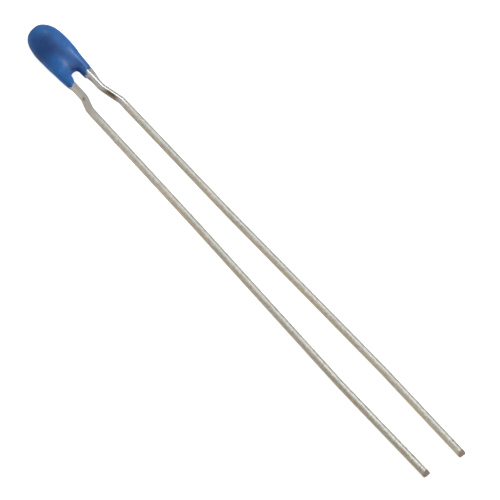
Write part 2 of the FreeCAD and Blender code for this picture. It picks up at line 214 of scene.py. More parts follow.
# a facet where the right wire was wiped: from and to below the notch, angle round the
# wire, depth, and how long each end of it takes to fade
WIPED_FACET = (0.5, 4.8, 91, 0.005, 0.8)
# the cut: radius of its rounded edge, where round that its rings lie in degrees, and the
# rings across its face, as shares of the wire's radius
CUT_EDGE = 0.05
CUT_EDGE_TURNS = (0, 22, 45, 67, 90)
CUT_FACE_RINGS = (0.72, 0.60, 0.48, 0.36, 0.24, 0.12)
# the cutter's jaws: how far their line lies below the middle, its slant, how steep the
# bevels above and below it are, and how far up the wire they reach
JAW_DROP, JAW_SLANT, BEVEL_ABOVE, BEVEL_UNDER = 0.05, 0.22, 0.95, 0.20
BEVEL_REACH = 0.7
# the left side of the cut is drawn back in a curve: from where, and how fast
JAW_CURVE_FROM, JAW_CURVE = -0.10, 2.5
# the fine lines that the jaws left in the face
JAW_MARK_DEPTH, JAW_MARK_LENGTH = 0.006, 0.025
# the copper in the cut: its middle and half size across and up, and how clean it is
CORE_ACROSS, CORE_UP, CORE_HALF_WIDTH, CORE_HALF_HEIGHT = 0.08, 0.05, 0.13, 0.17
CORE_CLEAN = {"left": 0.40, "right": 0.80}
# how brown the cut is above and below the jaws' line, how uneven that is, and how strong
# the smear on the wire beside it is and how soon it ends
CUT_TONE_ABOVE, CUT_TONE_UNDER, CUT_TONE_LEAST, CUT_TONE_BLOTCH = 1.0, 0.35, 0.85, (0.3, 0.10)
CUT_SMEAR, CUT_SMEAR_FADE = 0.6, 6
# how far the left flanks' painted reflection and shade have gone from pinkish to brown, by distance
# below the notch
FLANK_REFLECTION_TONES = {
    "left": ([1, 6, 15, 27, 31, 40], [0.0, 0.25, 0.65, 0.80, 0.97, 1.0]),
    "right": ([4, 6, 10, 19, 27, 40], [0.25, 0.30, 0.38, 0.42, 0.56, 0.52]),
}
# how dull the tin is, the same way
DULLNESS = {
    "left": ([1, 3.2, 4.6, 8, 27, 31, 40], [1.0, 1.0, 0.45, 0.34, 0.24, 0.08, 0.0]),
    "right": ([5, 10, 40], [0.24, 0.22, 0.14]),
}
# the painted reflection and shade on the left flanks and the painted shade on the right flanks, by
# how far the surface faces left or right
LEFT_FLANK_REFLECTION = ([0.15, 0.60], [0.0, 0.95])
RIGHT_FLANK_SHADE = {"left": ([0.25, 0.60], [0.0, 0.20]), "right": ([0.25, 0.60], [0.0, 0.45])}
FLANK_LEAST, FLANK_BLOTCH = 0.9, (0.5, 0.9)
# the colder grey along the top: its angle round the wire and half width, in degrees
CREST_ANGLE, CREST_HALF_WIDTH = 88, 20
# patches painted on the right wire, a dark reflection in two parts and a pale glint: angle
# round it, half width, distance below the notch, half length, sharpness of the edge; then
# how strongly each one colours the tin
DARK_REFLECTION_CORE = (106, 23, 3.26, 0.47, 4)
DARK_REFLECTION_HALO = (142, 36, 3.25, 0.68, 4)
PAINTED_GLINT_PATCH = (150, 20, 2.05, 0.26, 2)
CORE_DARKENING, HALO_DARKENING, HALO_BROWNING, GLINT_PALENESS = 0.76, 0.36, 0.90, 0.80
# how bright the right wire was wiped, by distance below the notch and round to its side
WIPED_ALONG = ([1.1, 2.0, 4.15, 4.75], [0.55, 1.0, 1.0, 0.0])
WIPED_ROUND = ([0.35, 0.65], [1.0, 0.3])
# the finish: sizes of its blotches, depths of its relief, and how metallic and how rough
# it is as drawn, where it is dullest and where it was wiped
FINE_BLOTCH, TINT_BLOTCH, BROAD_BLOTCH = 0.12, 0.17, 0.55
FINE_DEPTH, BROAD_DEPTH = 0.018, 0.006
TIN_METALLIC, TIN_ROUGHNESS, DULL_ROUGHNESS = 0.30, (0.27, 0.48), 0.80
WIPED_METALLIC, WIPED_ROUGHNESS, WIPED_CLEAN = 1.0, 0.17, 0.7
TIN_OLIVE = (0.400, 0.388, 0.330, 1)
TIN_GREY = (0.365, 0.372, 0.360, 1)
# the next three colours paint a reflection and shade on the left flanks; the brown also tints the
# painted dark reflection on the right bend
TIN_BLUSH = (0.580, 0.515, 0.445, 1)
TIN_TAN = (0.520, 0.430, 0.300, 1)
TIN_BROWN = (0.297, 0.238, 0.157, 1)
# the pale serves the tin's mottle and also paints the glint on the right bend
TIN_PALE = (0.560, 0.555, 0.515, 1)
# the dark serves the tin's mottle and also paints shade on the right flanks
TIN_DARK = (0.250, 0.228, 0.185, 1)
TIN_DULL = (0.315, 0.308, 0.282, 1)
TIN_VIOLET = (0.310, 0.290, 0.300, 1)
TIN_GOLD = (0.480, 0.400, 0.250, 1)
# a near black painted into the nicks as shade and into the right bend as a dark reflection
TIN_SHADE_AND_REFLECTION_BLACK = (0.072, 0.049, 0.031, 1)
TIN_CLEAN = (0.335, 0.338, 0.342, 1)
CUT_BROWN = (0.150, 0.120, 0.084, 1)
CUT_COPPER = (0.290, 0.145, 0.080, 1)


def at_rest(points):
    """Turns and moves points from the part's upright frame to where it lies, in metres."""
    x, y, z = points.T
    cosine, sine = math.cos(REST_TILT), math.sin(REST_TILT)
    turned = np.stack([x, y * cosine - z * sine, y * sine + z * cosine], axis=1)
    return (turned + REST_SHIFT) / MILLIMETRES


def wire_centres(side_name):
    """Points down the middle of one wire, with the way it heads at each."""
    side = SIDES[side_name]
    reach, bend_radius, runs = WIRE_ROUTES[side_name]
    x, y, heading = side * WIRE_ASIDE, WIRE_ROOT, 0.0
    found = []
    for index, (degrees, length) in enumerate(runs):
        turned = math.radians(degrees)
        if index:
            radius = bend_radius if index <= SHARP_BENDS else BOW_RADIUS
            count = max(2, int(abs(turned - heading) * radius / WIRE_STEP))
            for way in np.linspace(heading, turned, count + 1)[1:]:
                swing = way - heading
                ahead = radius * math.sin(abs(swing))
                aside = radius * (1 - math.cos(swing)) * (1 if swing > 0 else -1)
                across = ahead * math.sin(heading) + aside * math.cos(heading)
                down = ahead * math.cos(heading) - aside * math.sin(heading)
                found.append((x + side * across, y - down, way))
            x, y, heading = found[-1]
        if length is None:
            length = (y + reach) / math.cos(heading)
        for gone in np.arange(WIRE_STEP, length, WIRE_STEP).tolist() + [length]:
            across = gone * math.sin(heading)
            found.append((x + side * across, y - gone * math.cos(heading), heading))
        x, y, heading = found[-1]
    return np.array(found)


def waver(points, size):
    """Smooth unevenness from -1 to 1 at each point, about size millimetres long."""
    return np.array([noise.noise(Vector(p) / size) for p in points])


def sunk(points, depth, size):
    """Smooth unevenness from 0 to depth."""
    return depth * (0.5 + 0.5 * waver(points, size))


def wire_patch(angle, below, patch):
    """1 in the middle of a patch on a wire, falling to 0 past its edge."""
    degrees, half_width, place, half_length, sharpness = patch
    return np.exp(-((angle - degrees) / half_width) ** sharpness
                  - ((below - place) / half_length) ** sharpness)


def put_in_scene(name, data):
    """Makes an object from a mesh, a lamp or a camera."""
    thing = bpy.data.objects.new(name, data)
    bpy.context.scene.collection.objects.link(thing)
    return thing


def mesh_piece(name, vertices, faces, finish):
    """A smooth shaded mesh object at the origin, from vertices in metres."""
    mesh = bpy.data.meshes.new(name)
    mesh.from_pydata(vertices.tolist(), [], faces)
    mesh.polygons.foreach_set("use_smooth", [True] * len(mesh.polygons))
    mesh.materials.append(finish)
    mesh.update()
    return put_in_scene(name, mesh)


def mark(piece, name, amounts):
    """Keeps a number from 0 to 1 at each vertex, for the finish to read."""
    kept = np.clip(amounts, 0, 1).astype(np.float32)
    piece.data.attributes.new(name, "FLOAT", "POINT").data.foreach_set("value", kept)


def read_mark(tree, name):
    """Gives a finish the number that mark kept."""
    node = tree.nodes.new("ShaderNodeAttribute")
    node.attribute_name = name
    return node.outputs["Fac"]


def feed(tree, socket, value):
    """Sets a socket to a number or a colour, or links it to a node's result."""
    if isinstance(value, (int, float, tuple)):
        socket.default_value = value
    else:
        tree.links.new(value, socket)


def times(tree, first, second):
    """Multiplies two numbers."""
    node = tree.nodes.new("ShaderNodeMath")
    node.operation = "MULTIPLY"
    feed(tree, node.inputs[0], first)
    feed(tree, node.inputs[1], second)
    return node.outputs["Value"]


def blend_tones(tree, amount, under, over):
    """Lays one colour over another by an amount."""
    mix = tree.nodes.new("ShaderNodeMix")
    mix.data_type = "RGBA"
    tree.links.new(amount, mix.inputs["Factor"])
    feed(tree, mix.inputs[6], under)
    feed(tree, mix.inputs[7], over)
    return mix.outputs[2]


def blend_numbers(tree, amount, under, over):
    """Moves a number from one value to another by an amount."""
    mix = tree.nodes.new("ShaderNodeMix")
    feed(tree, mix.inputs["Factor"], amount)
    feed(tree, mix.inputs[2], under)
    feed(tree, mix.inputs[3], over)
    return mix.outputs[0]


tinned, tree, shader, where = new_finish("tinned_copper")
# dull drawn tin: fine blotches pulled out along the wire, over broader clouds
fine = mottle(tree, where, FINE_BLOTCH, detail=3, stretch=(1, 0.65, 1))
tint = mottle(tree, where, TINT_BLOTCH, detail=2, stretch=(1, 0.70, 1))
broad = mottle(tree, where, BROAD_BLOTCH, detail=2, stretch=(1, 0.40, 1))
# where the left flanks get their painted reflection and shade
painted_flank_reflection = read_mark(tree, "painted_flank_reflection")
dullness = read_mark(tree, "dullness")
wiped = read_mark(tree, "polish")
olive_stops = [(0.38, TIN_DARK), (0.48, TIN_OLIVE), (0.54, TIN_OLIVE), (0.65, TIN_PALE)]
flank_reflection_stops = [(0.0, TIN_BLUSH), (0.5, TIN_TAN), (1.0, TIN_BROWN)]
coats = [
    # along the top it has stayed a colder grey
    (times(tree, read_mark(tree, "crest"), spread(tree, fine, low=1.0, high=0.5)), TIN_GREY),
    # the left flanks get a painted brown reflection and shade, pinkish near the bead and browner
    # towards the tips
    (times(tree, painted_flank_reflection, spread(tree, broad, low=0.7, high=1.0)),
     tones(tree, read_mark(tree, "flank_reflection_tone"), flank_reflection_stops)),
    # the right flanks are painted a darker olive, as shade
    (read_mark(tree, "painted_far_flank_shade"), TIN_DARK),
    # specks of violet oxide, and of golden oxide on the left flanks
    (spread(tree, tint, low=0.65, high=0.0, start=0.34, end=0.46), TIN_VIOLET),
    (times(tree, painted_flank_reflection, spread(tree, tint, low=0.0, high=0.65, start=0.53, end=0.64)), TIN_GOLD),
    # the dullest stretch, below the left leg
    (spread(tree, dullness, low=0.0, high=0.80, start=0.45, end=1.0),
     blend_tones(tree, painted_flank_reflection, TIN_DULL, TIN_BLUSH)),
    # the right bend, wiped clean, with a painted pale glint and a painted brown and near black
    # reflection, and painted shade in the nicks of both wires
    (times(tree, wiped, WIPED_CLEAN), TIN_CLEAN),
    (read_mark(tree, "painted_glint"), TIN_PALE),
    (read_mark(tree, "dark_reflection_brown"), TIN_BROWN),
    (read_mark(tree, "nick_shade_and_dark_reflection"), TIN_SHADE_AND_REFLECTION_BLACK),
    # the cut ends
    (read_mark(tree, "cut"), CUT_BROWN),
    (read_mark(tree, "bare_copper"), CUT_COPPER),
]
tin_colour = tones(tree, fine, olive_stops)
for amount, coat in coats:
    tin_colour = blend_tones(tree, amount, tin_colour, coat)
tree.links.new(tin_colour, shader.inputs["Base Color"])
tin_metallic = blend_numbers(tree, wiped, TIN_METALLIC, WIPED_METALLIC)
tree.links.new(tin_metallic, shader.inputs["Metallic"])
drawn_roughness = spread(tree, fine, *TIN_ROUGHNESS)
unwiped_roughness = blend_numbers(tree, dullness, drawn_roughness, DULL_ROUGHNESS)
tin_roughness = blend_numbers(tree, wiped, unwiped_roughness, WIPED_ROUGHNESS)
tree.links.new(tin_roughness, shader.inputs["Roughness"])
# wiping has smoothed most of the fine relief away
fine_left = spread(tree, wiped, low=1.0, high=0.25, start=0, end=1)
relief(tree, shader, times(tree, fine, fine_left), FINE_DEPTH, strength=0.8)
relief(tree, shader, broad, BROAD_DEPTH, strength=0.5)

for side_name, side in SIDES.items():
    # the middle of each ring, and the ways outward and onward from it
    x, y, heading = wire_centres(side_name).T
    level = np.zeros(len(x))
    middles = np.stack([x, y, level], axis=1)
    outward = np.stack([side * np.cos(heading), np.sin(heading), level], axis=1)
    onward = np.stack([side * np.sin(heading), -np.cos(heading), level], axis=1)
    # the nipped end: the last rings close over the rounded edge and across the face
    tip = middles[-1]
    end_rings = [(-CUT_EDGE * (1 - math.sin(turn)), WIRE_RADIUS - CUT_EDGE * (1 - math.cos(turn)))
                 for turn in np.radians(CUT_EDGE_TURNS)]
    end_rings += [(0.0, WIRE_RADIUS * share) for share in CUT_FACE_RINGS]
    along, end_radii = np.array(end_rings).T
    keep = np.linalg.norm(middles - tip, axis=1) > CUT_EDGE + WIRE_STEP / 2
    middles = np.vstack([middles[keep], tip + onward[-1] * along[:, None]])
    outward = np.vstack([outward[keep]] + [outward[-1]] * len(end_rings))
    onward = np.vstack([onward[keep]] + [onward[-1]] * len(end_rings))
    radii = np.append(np.full(keep.sum(), WIRE_RADIUS), end_radii)
    rings = len(middles)
    first_end_ring = rings - len(end_rings)
    angles = np.linspace(0, 2 * math.pi, WIRE_SIDES, endpoint=False)
    upward = np.array([0.0, 0.0, 1.0])
    spokes = (outward[:, None, :] * np.cos(angles)[None, :, None]
              + upward[None, None, :] * np.sin(angles)[None, :, None])
    surface = middles[:, None, :] + spokes * radii[:, None, None]
    points = surface.reshape(-1, 3)
    normals = spokes.reshape(-1, 3)
    # where each point is: its ring, distance below the notch, and angle round the wire
    ring_of = np.repeat(np.arange(rings), WIRE_SIDES)
    angle_of = np.tile(angles, rings)
    below = -middles[ring_of][:, 1]
    angle_round = np.degrees(np.arctan2(np.sin(angle_of), side * np.cos(angle_of)))
    leftward = -np.cos(np.radians(angle_round))
    on_side = ring_of <= first_end_ring
    on_face = ring_of >= first_end_ring + CUT_EDGE_TURNS.index(67)
    # drawing and tinning leave the surface a little uneven, always inside the true radius
    drawn = points * DRAWN_OUT
    sink = sunk(drawn, *TIN_WAVE) + sunk(points, *TIN_RIPPLE)
    # the nicks also get painted shade, darker the deeper they are
    nick_shade = np.zeros(len(points))
    for nick_side, place, degrees, half_length, half_width, depth in TIN_NICKS:
        if nick_side == side_name:
            across = np.radians(angle_round - degrees) * WIRE_RADIUS / half_width
            dent = np.exp(-across ** 2 - ((below - place) / half_length) ** 2)
            sink = sink + depth * dent
            nick_shade += depth / NICK_SHADE_BLACK * dent
    if side_name == "right":
        start, end, degrees, depth, fade = WIPED_FACET
        cut_in = depth * np.clip(np.minimum(below - start, end - below) / fade, 0, 1)
        facing = WIRE_RADIUS * np.cos(np.radians(angle_round - degrees))
        sink = np.maximum(sink, np.clip(facing - WIRE_RADIUS + cut_in, 0, None))
    points = points - normals * (sink * on_side)[:, None]
    # the cutter's two jaws met across the wire and left a bevel each, the upper one larger
    right_of_tip, _, above_tip = (points - tip).T
    above_jaws = (JAW_SLANT * right_of_tip + above_tip) / math.hypot(1, JAW_SLANT) + JAW_DROP
    near_cut = np.clip(1 - (WIRE_ROUTES[side_name][0] - below) / BEVEL_REACH, 0, 1)
    bevel = np.where(above_jaws > 0, BEVEL_ABOVE, BEVEL_UNDER) * np.abs(above_jaws)
    curve = JAW_CURVE * np.clip(JAW_CURVE_FROM - right_of_tip, 0, None) ** 2
    jaw_marks = np.where(on_face, JAW_MARK_DEPTH * np.sin(right_of_tip / JAW_MARK_LENGTH), 0)
    draw_back = np.clip(near_cut * (bevel + curve) + jaw_marks, 0, None)
    points = points - onward[ring_of] * draw_back[:, None]
    # close the root, inside the bead, and the cut face with a middle point each
    hub_root = middles[0]
    hub_tip = points[-WIRE_SIDES:].mean(axis=0)
    vertices = np.vstack([points, hub_root, hub_tip])
    faces = []
    for ring in range(rings - 1):
        for corner in range(WIRE_SIDES):
            after = (corner + 1) % WIRE_SIDES
            quad = [ring * WIRE_SIDES + corner, (ring + 1) * WIRE_SIDES + corner,
                    (ring + 1) * WIRE_SIDES + after, ring * WIRE_SIDES + after]
            faces.append(quad[::side])
    last = (rings - 1) * WIRE_SIDES
    for corner in range(WIRE_SIDES):
        after = (corner + 1) % WIRE_SIDES
        faces.append([len(points), corner, after][::side])
        faces.append([len(points) + 1, last + after, last + corner][::side])
    lead = mesh_piece("lead_wire_" + side_name, at_rest(vertices), faces, tinned)

    # what the finish reads: the cut is darker on its upper bevel, with a copper core
    blotch, blotch_size = CUT_TONE_BLOTCH
    face_tone = (np.where(above_jaws > 0, CUT_TONE_ABOVE, CUT_TONE_UNDER)
                 * (CUT_TONE_LEAST + blotch * waver(points, blotch_size)))
    smear = CUT_SMEAR * near_cut ** CUT_SMEAR_FADE
    core = np.exp(-((right_of_tip - CORE_ACROSS) / CORE_HALF_WIDTH) ** 2
                  - ((above_tip - CORE_UP) / CORE_HALF_HEIGHT) ** 2)
    reflection_core, reflection_halo, glint, polished = np.zeros((4, len(points)))
    if side_name == "right":
        # a dark reflection and a pale glint painted on the inner top of the bend, and tin wiped clean
        # below the bead
        reflection_core = wire_patch(angle_round, below, DARK_REFLECTION_CORE)
        reflection_halo = wire_patch(angle_round, below, DARK_REFLECTION_HALO)
        glint = GLINT_PALENESS * wire_patch(angle_round, below, PAINTED_GLINT_PATCH)
        polished = np.interp(below, *WIPED_ALONG) * np.interp(-leftward, *WIPED_ROUND)
        polished = polished * (1 - glint)
    blotch, blotch_size = FLANK_BLOTCH
    flank_tone = FLANK_LEAST + blotch * waver(drawn, blotch_size)
    # among these marks are the painted reflection and shade on the flanks and the painted light on
    # the right bend
    marks = {
        "cut": np.where(on_face, face_tone, smear),
        "bare_copper": np.where(on_face, core, 0) * CORE_CLEAN[side_name],
        "painted_flank_reflection": np.interp(leftward, *LEFT_FLANK_REFLECTION) * flank_tone,
        "painted_far_flank_shade": np.interp(-leftward, *RIGHT_FLANK_SHADE[side_name]),
        "flank_reflection_tone": np.interp(below, *FLANK_REFLECTION_TONES[side_name]),
        "dullness": np.interp(below, *DULLNESS[side_name]),
        "crest": np.exp(-((angle_round - CREST_ANGLE) / CREST_HALF_WIDTH) ** 2),
        # painted shade in the nicks, and a painted dark reflection and glint on the right bend
        "nick_shade_and_dark_reflection": nick_shade + CORE_DARKENING * reflection_core + HALO_DARKENING * reflection_halo,
        "dark_reflection_brown": HALO_BROWNING * reflection_halo,
        "painted_glint": glint,
        "polish": polished,
    }
    for name, amounts in marks.items():
        mark(lead, name, np.append(amounts, [0, amounts[-1]]))
    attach(lead, "root")
    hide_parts("lead_" + side_name)

# ---------------------------------------------------------------------------------------
# Coating: blue epoxy lacquer. The pellet and the tops of the wires are dipped, drawn out
# slowly and baked, so the skin is thick over the pellet, ridged over the two wires,
# hollow between them and drawn into a short leg down each wire.
# ---------------------------------------------------------------------------------------
# the whole bead: half sizes at its widest and at the leg ends, and how it tapers and domes
BEAD_HALF_WIDTH, LEG_HALF_WIDTH = 1.27, 1.20
BEAD_HALF_THICK, LEG_HALF_THICK = 0.9912, 0.5192
BEAD_WIDEST = 2.35
HEAD_HEIGHT = 2.17
LEG_LENGTH = 0.68
TAPER_POWER = 1.60
TAPER_MOST = 1.1
DOME_POWER, RISE_POWER = 0.82, 2.3
# how square its section is, and where it passes from the one to the other
SQUARE_HEAD, SQUARE_LEGS, SQUARE_FROM, SQUARE_TO = 2.3, 2.5, 2.0, 0.2
# how far its middle line lies to the right: at its widest, at the leg ends and round the
# waist, with the waist's middle and half length; and how far it bends left at the head
BEAD_LEAN, LEG_LEAN = 0.01, 0.015
WAIST_LEAN, WAIST_MIDDLE, WAIST_HALF_LENGTH = 0.048, 1.7, 1.3
HEAD_LEAN, HEAD_LEAN_FROM, HEAD_LEAN_TO = 0.06, 3.2, 4.3
# the hollow between the two ridges: depth, where it fades in, its middle line, its half
# width to the right, and the one to the left, which grows towards the head
VALLEY_DEPTH, VALLEY_FROM, VALLEY_TO = 0.39, 1.8, 0.0
VALLEY_MIDDLE, VALLEY_RIGHT = 0.26, 0.58
VALLEY_LEFT, VALLEY_LEFT_GROWS, VALLEY_LEFT_AT, VALLEY_LEFT_LIMITS = 0.52, 0.41, 0.7, (0.3, 1.2)
# the slope of the top down to the left side, where it sagged while it set
HEAD_SAG, SAG_FROM, SAG_TO = 0.19, 0.4, 1.5
# a flat place where the lacquer drew back over the left wire: the way it faces, how far
# out it lies, where it starts to fall away towards the leg, how fast, and its soft edge
FLAT_WAY = (-0.101, -0.289, 0.952)
FLAT_OUT, FLAT_END, FLAT_FALL, FLAT_FALL_OVER, FLAT_EDGE = 0.505, 0.45, 0.6, 2, 0.30
# the notch: radius of its crown, middle line, flare of each side and soft edge
CROWN_RADIUS = 0.35
NOTCH_MIDDLE = -0.025
NOTCH_FLARE_LEFT, NOTCH_FLARE_RIGHT = math.radians(13), math.radians(2)
NOTCH_EDGE = 0.26
# the left leg's end: its lowest place across and how low, its soft edge, then how fast and
# over what width it rises over the wire's top, towards the notch and round the outer side
LEFT_END_AT, LEFT_END, LEFT_END_EDGE = -0.94, -1.06, 0.20
LEFT_RISE_TOP, LEFT_TOP_FROM, LEFT_TOP_TO = 0.30, -0.2, 0.5
LEFT_RISE_INWARD, LEFT_INWARD_OVER = 0.42, 0.6
LEFT_RISE_OUTWARD, OUTWARD_OVER = 20, 0.3
# the right one's: how low on the wire's top and its soft edge, then where its fall down the
# inner side begins, its steepness, curve and width, and the same of its outer rise
RIGHT_END, RIGHT_END_EDGE = -0.67, 0.12
RIGHT_INNER_AT, RIGHT_FALL_INWARD, RIGHT_CURVE_INWARD, RIGHT_INWARD_OVER = 0.79, 0.75, 0.4, 0.5
RIGHT_OUTER_AT, RIGHT_RISE_OUTWARD = 0.92, 1.5
# clear resin that ran on down both sides of the right wire: top and foot, then where it
# starts to thin, over what length and how suddenly, then its middle across, how far that
# moves, its middle up, how flat it lies, its radius and how much it narrows
RESIN_RUNS = [
    (-0.72, -1.46, -0.75, 0.65, 1, 0.470, 0.02, 0.05, 0.7, 0.130, 0.08),
    (-0.50, -1.95, -0.50, 1.35, 2, 1.035, -0.15, 0.02, 0.8, 0.165, 0.02),
]
# the mesh: its cells, the space that they fill, and how often it is evened out
SKIN_STEP = 0.045
SKIN_LOW, SKIN_HIGH = (-1.5, -2.05, -1.25), (1.6, 4.75, 1.25)
SETTLE_ROUNDS = 4
# steps over which a shape's slope is taken, and the least slope that is trusted
FULLNESS_STEP, SETTLE_STEP, LEAST_SLOPE = 0.01, 0.002, 0.05
# the unevenness of the set lacquer: depth and length
LACQUER_WAVE = (0.010, 0.75)
LACQUER_BLUE = (0.022, 0.133, 0.402, 1)
LACQUER_CLOUD = (0.016, 0.103, 0.335, 1)
# navy for the pellet showing through and for painted shade
LACQUER_NAVY_AND_SHADE = (0.004, 0.024, 0.118, 1)
LACQUER_THIN = (0.330, 0.340, 0.340, 1)
LACQUER_SHINE = 0.28
# clouds and specks in the colour and in the surface, and how rough it is
CLOUD_SIZE, SPECK_SIZE, SPECK_SHARE = 0.7, 0.12, 0.45
CLOUD_DEPTH, SPECK_DEPTH = 0.02, 0.003
MATT_ROUGHNESS, GLOSSY_ROUGHNESS, CLOUD_ROUGHNESS = 0.82, 0.25, 0.6
# how strongly the pellet, partly with painted shade, and the painted shade in the hollow, round the
# notch and in the left leg's drop darken the lacquer
PELLET_DARK_AND_SHADE, HOLLOW_SHADE, NOTCH_SHADE, DROP_SHADE = 0.80, 0.60, 0.84, 0.70
# its gloss where it is least, and the shares of the left patch and the spot on the head
GLOSS_LEAST, PATCH_GLOSS, HEAD_GLOSS = 0.30, 0.92, 0.85
# the matt place between the legs: from and to below the notch, half width and soft edge
MATT_FROM, MATT_TO, MATT_HALF_WIDTH, MATT_EDGE = 0.0, -0.15, 0.62, 0.2
# where the blue turns to clear resin on the right wire: on its outer side, past this
# place across, and on its inner side
OUTER_SIDE, CLEAR_OUTSIDE, CLEAR_INSIDE = 0.85, (-0.66, -0.80), (-0.86, -1.00)


def ease(amount, start, end):
    """0 at start and before it, 1 at end and past it, smooth between."""
    share = np.clip((amount - start) / (end - start), 0, 1)
    return share * share * (3 - 2 * share)


def round_off(first, second, width):
    """Cuts one shape by another and rounds the edge between them over width."""
    blend = np.clip(width - np.abs(first - second), 0, None) / width
    return np.maximum(first, second) + blend * blend * width / 4


def bead_fullness(x, y, z):
    """1 on the surface of the whole bead, less inside: ellipses up a taper and a dome."""
    share = np.clip((BEAD_WIDEST - y) / (BEAD_WIDEST + LEG_LENGTH), 0, TAPER_MOST)
    rise = np.clip((y - BEAD_WIDEST) / HEAD_HEIGHT, 0, None)
    half_width = BEAD_HALF_WIDTH - (BEAD_HALF_WIDTH - LEG_HALF_WIDTH) * share ** TAPER_POWER
    thinning = (1 - np.cos(math.pi * share)) / 2
    half_thick = BEAD_HALF_THICK - (BEAD_HALF_THICK - LEG_HALF_THICK) * thinning
    across = x - (BEAD_LEAN - (BEAD_LEAN - LEG_LEAN) * share)
    across = across - WAIST_LEAN * np.exp(-((y - WAIST_MIDDLE) / WAIST_HALF_LENGTH) ** 2)
    across = across + HEAD_LEAN * ease(y, HEAD_LEAN_FROM, HEAD_LEAN_TO)
    # between the wires the wet lacquer sinks, and over them it stands in two ridges
    left_width = VALLEY_LEFT + VALLEY_LEFT_GROWS * (y - VALLEY_LEFT_AT)
    left_width = np.clip(left_width, *VALLEY_LEFT_LIMITS)
    beside = across - VALLEY_MIDDLE
    beside = beside / np.where(beside > 0, VALLEY_RIGHT, left_width)
    sunken = VALLEY_DEPTH * ease(y, VALLEY_FROM, VALLEY_TO) * np.exp(-beside ** 2)
    half_thick = half_thick * (1 - sunken)
    # while it set it sagged towards the left, so its top slopes down to that side
    up = z - HEAD_SAG * ease(y, SAG_FROM, SAG_TO) * across
    square = SQUARE_HEAD + (SQUARE_LEGS - SQUARE_HEAD) * ease(y, SQUARE_FROM, SQUARE_TO)
    section = (np.abs(across) / half_width) ** square + (np.abs(up) / half_thick) ** square
    section = section ** (1 / square)
    power = 2 / DOME_POWER
    return (section ** power + rise ** RISE_POWER) ** (1 / power)


def slope_of(shape, x, y, z, step):
    """How fast a shape's number changes along x, y and z at each point."""
    return [(shape(x + dx, y + dy, z + dz) - shape(x - dx, y - dy, z - dz)) / (2 * step)
            for dx, dy, dz in ((step, 0, 0), (0, step, 0), (0, 0, step))]


def true_distance(shape, x, y, z):
    """Turns a fullness into millimetres outside the surface, by its own slope."""
    steepness = np.sqrt(sum(slope ** 2 for slope in slope_of(shape, x, y, z, FULLNESS_STEP)))
    return (shape(x, y, z) - 1) / np.maximum(steepness, LEAST_SLOPE)


def resin_run(x, y, z, run):
    """Millimetres outside one run of clear resin down the side of a wire."""
    top, foot, thin_from, thin_over, power, middle, moves, up, flatness, radius, narrows = run
    gone = np.clip((thin_from - y) / thin_over, 0, 1) ** power
    beside = np.hypot(x - middle - moves * gone, (z - up) * flatness) - (radius - narrows * gone)
    return np.maximum(beside, np.maximum(y - top, foot - y))


def coating(x, y, z):
    """Millimetres outside the lacquer's surface, less than nothing inside it."""
    skin = true_distance(bead_fullness, x, y, z)
    flat_side = x * FLAT_WAY[0] + y * FLAT_WAY[1] + z * FLAT_WAY[2] - FLAT_OUT
    flat_side = flat_side - FLAT_FALL * np.clip(FLAT_END - y, 0, FLAT_FALL_OVER) ** 2
    skin = round_off(skin, flat_side, FLAT_EDGE)
    # the notch: a round crown with sides that flare towards the leg ends
    across, down = np.abs(x - NOTCH_MIDDLE), y + CROWN_RADIUS
    flare = np.where(x < NOTCH_MIDDLE, NOTCH_FLARE_LEFT, NOTCH_FLARE_RIGHT)
    beside = across * np.cos(flare) + down * np.sin(flare) - CROWN_RADIUS
    above = np.hypot(across, down) - CROWN_RADIUS
    notch = np.where(down * np.cos(flare) < across * np.sin(flare), beside, above)
    skin = round_off(skin, -notch, NOTCH_EDGE)
    # the left leg ends in a round drop, longest under the outer side of its wire
    left_end = (LEFT_END + LEFT_RISE_TOP * np.clip(z, LEFT_TOP_FROM, LEFT_TOP_TO)
                + LEFT_RISE_INWARD * np.clip(x - LEFT_END_AT, 0, LEFT_INWARD_OVER)
                + LEFT_RISE_OUTWARD * np.clip(LEFT_END_AT - x, 0, OUTWARD_OVER) ** 2)
    # the right one ends higher on the wire's top and runs down its inner side as a skirt
    inward = np.clip(RIGHT_INNER_AT - x, 0, RIGHT_INWARD_OVER)
    outward = np.clip(x - RIGHT_OUTER_AT, 0, OUTWARD_OVER)
    right_end = (RIGHT_END - RIGHT_FALL_INWARD * inward - RIGHT_CURVE_INWARD * inward ** 2
                 + RIGHT_RISE_OUTWARD * outward ** 2)
    on_left = x < LEG_LEAN
    end = np.where(on_left, left_end, right_end)
    skin = round_off(skin, end - y, np.where(on_left, LEFT_END_EDGE, RIGHT_END_EDGE))
    for run in RESIN_RUNS:
        skin = np.minimum(skin, resin_run(x, y, z, run))
    return skin


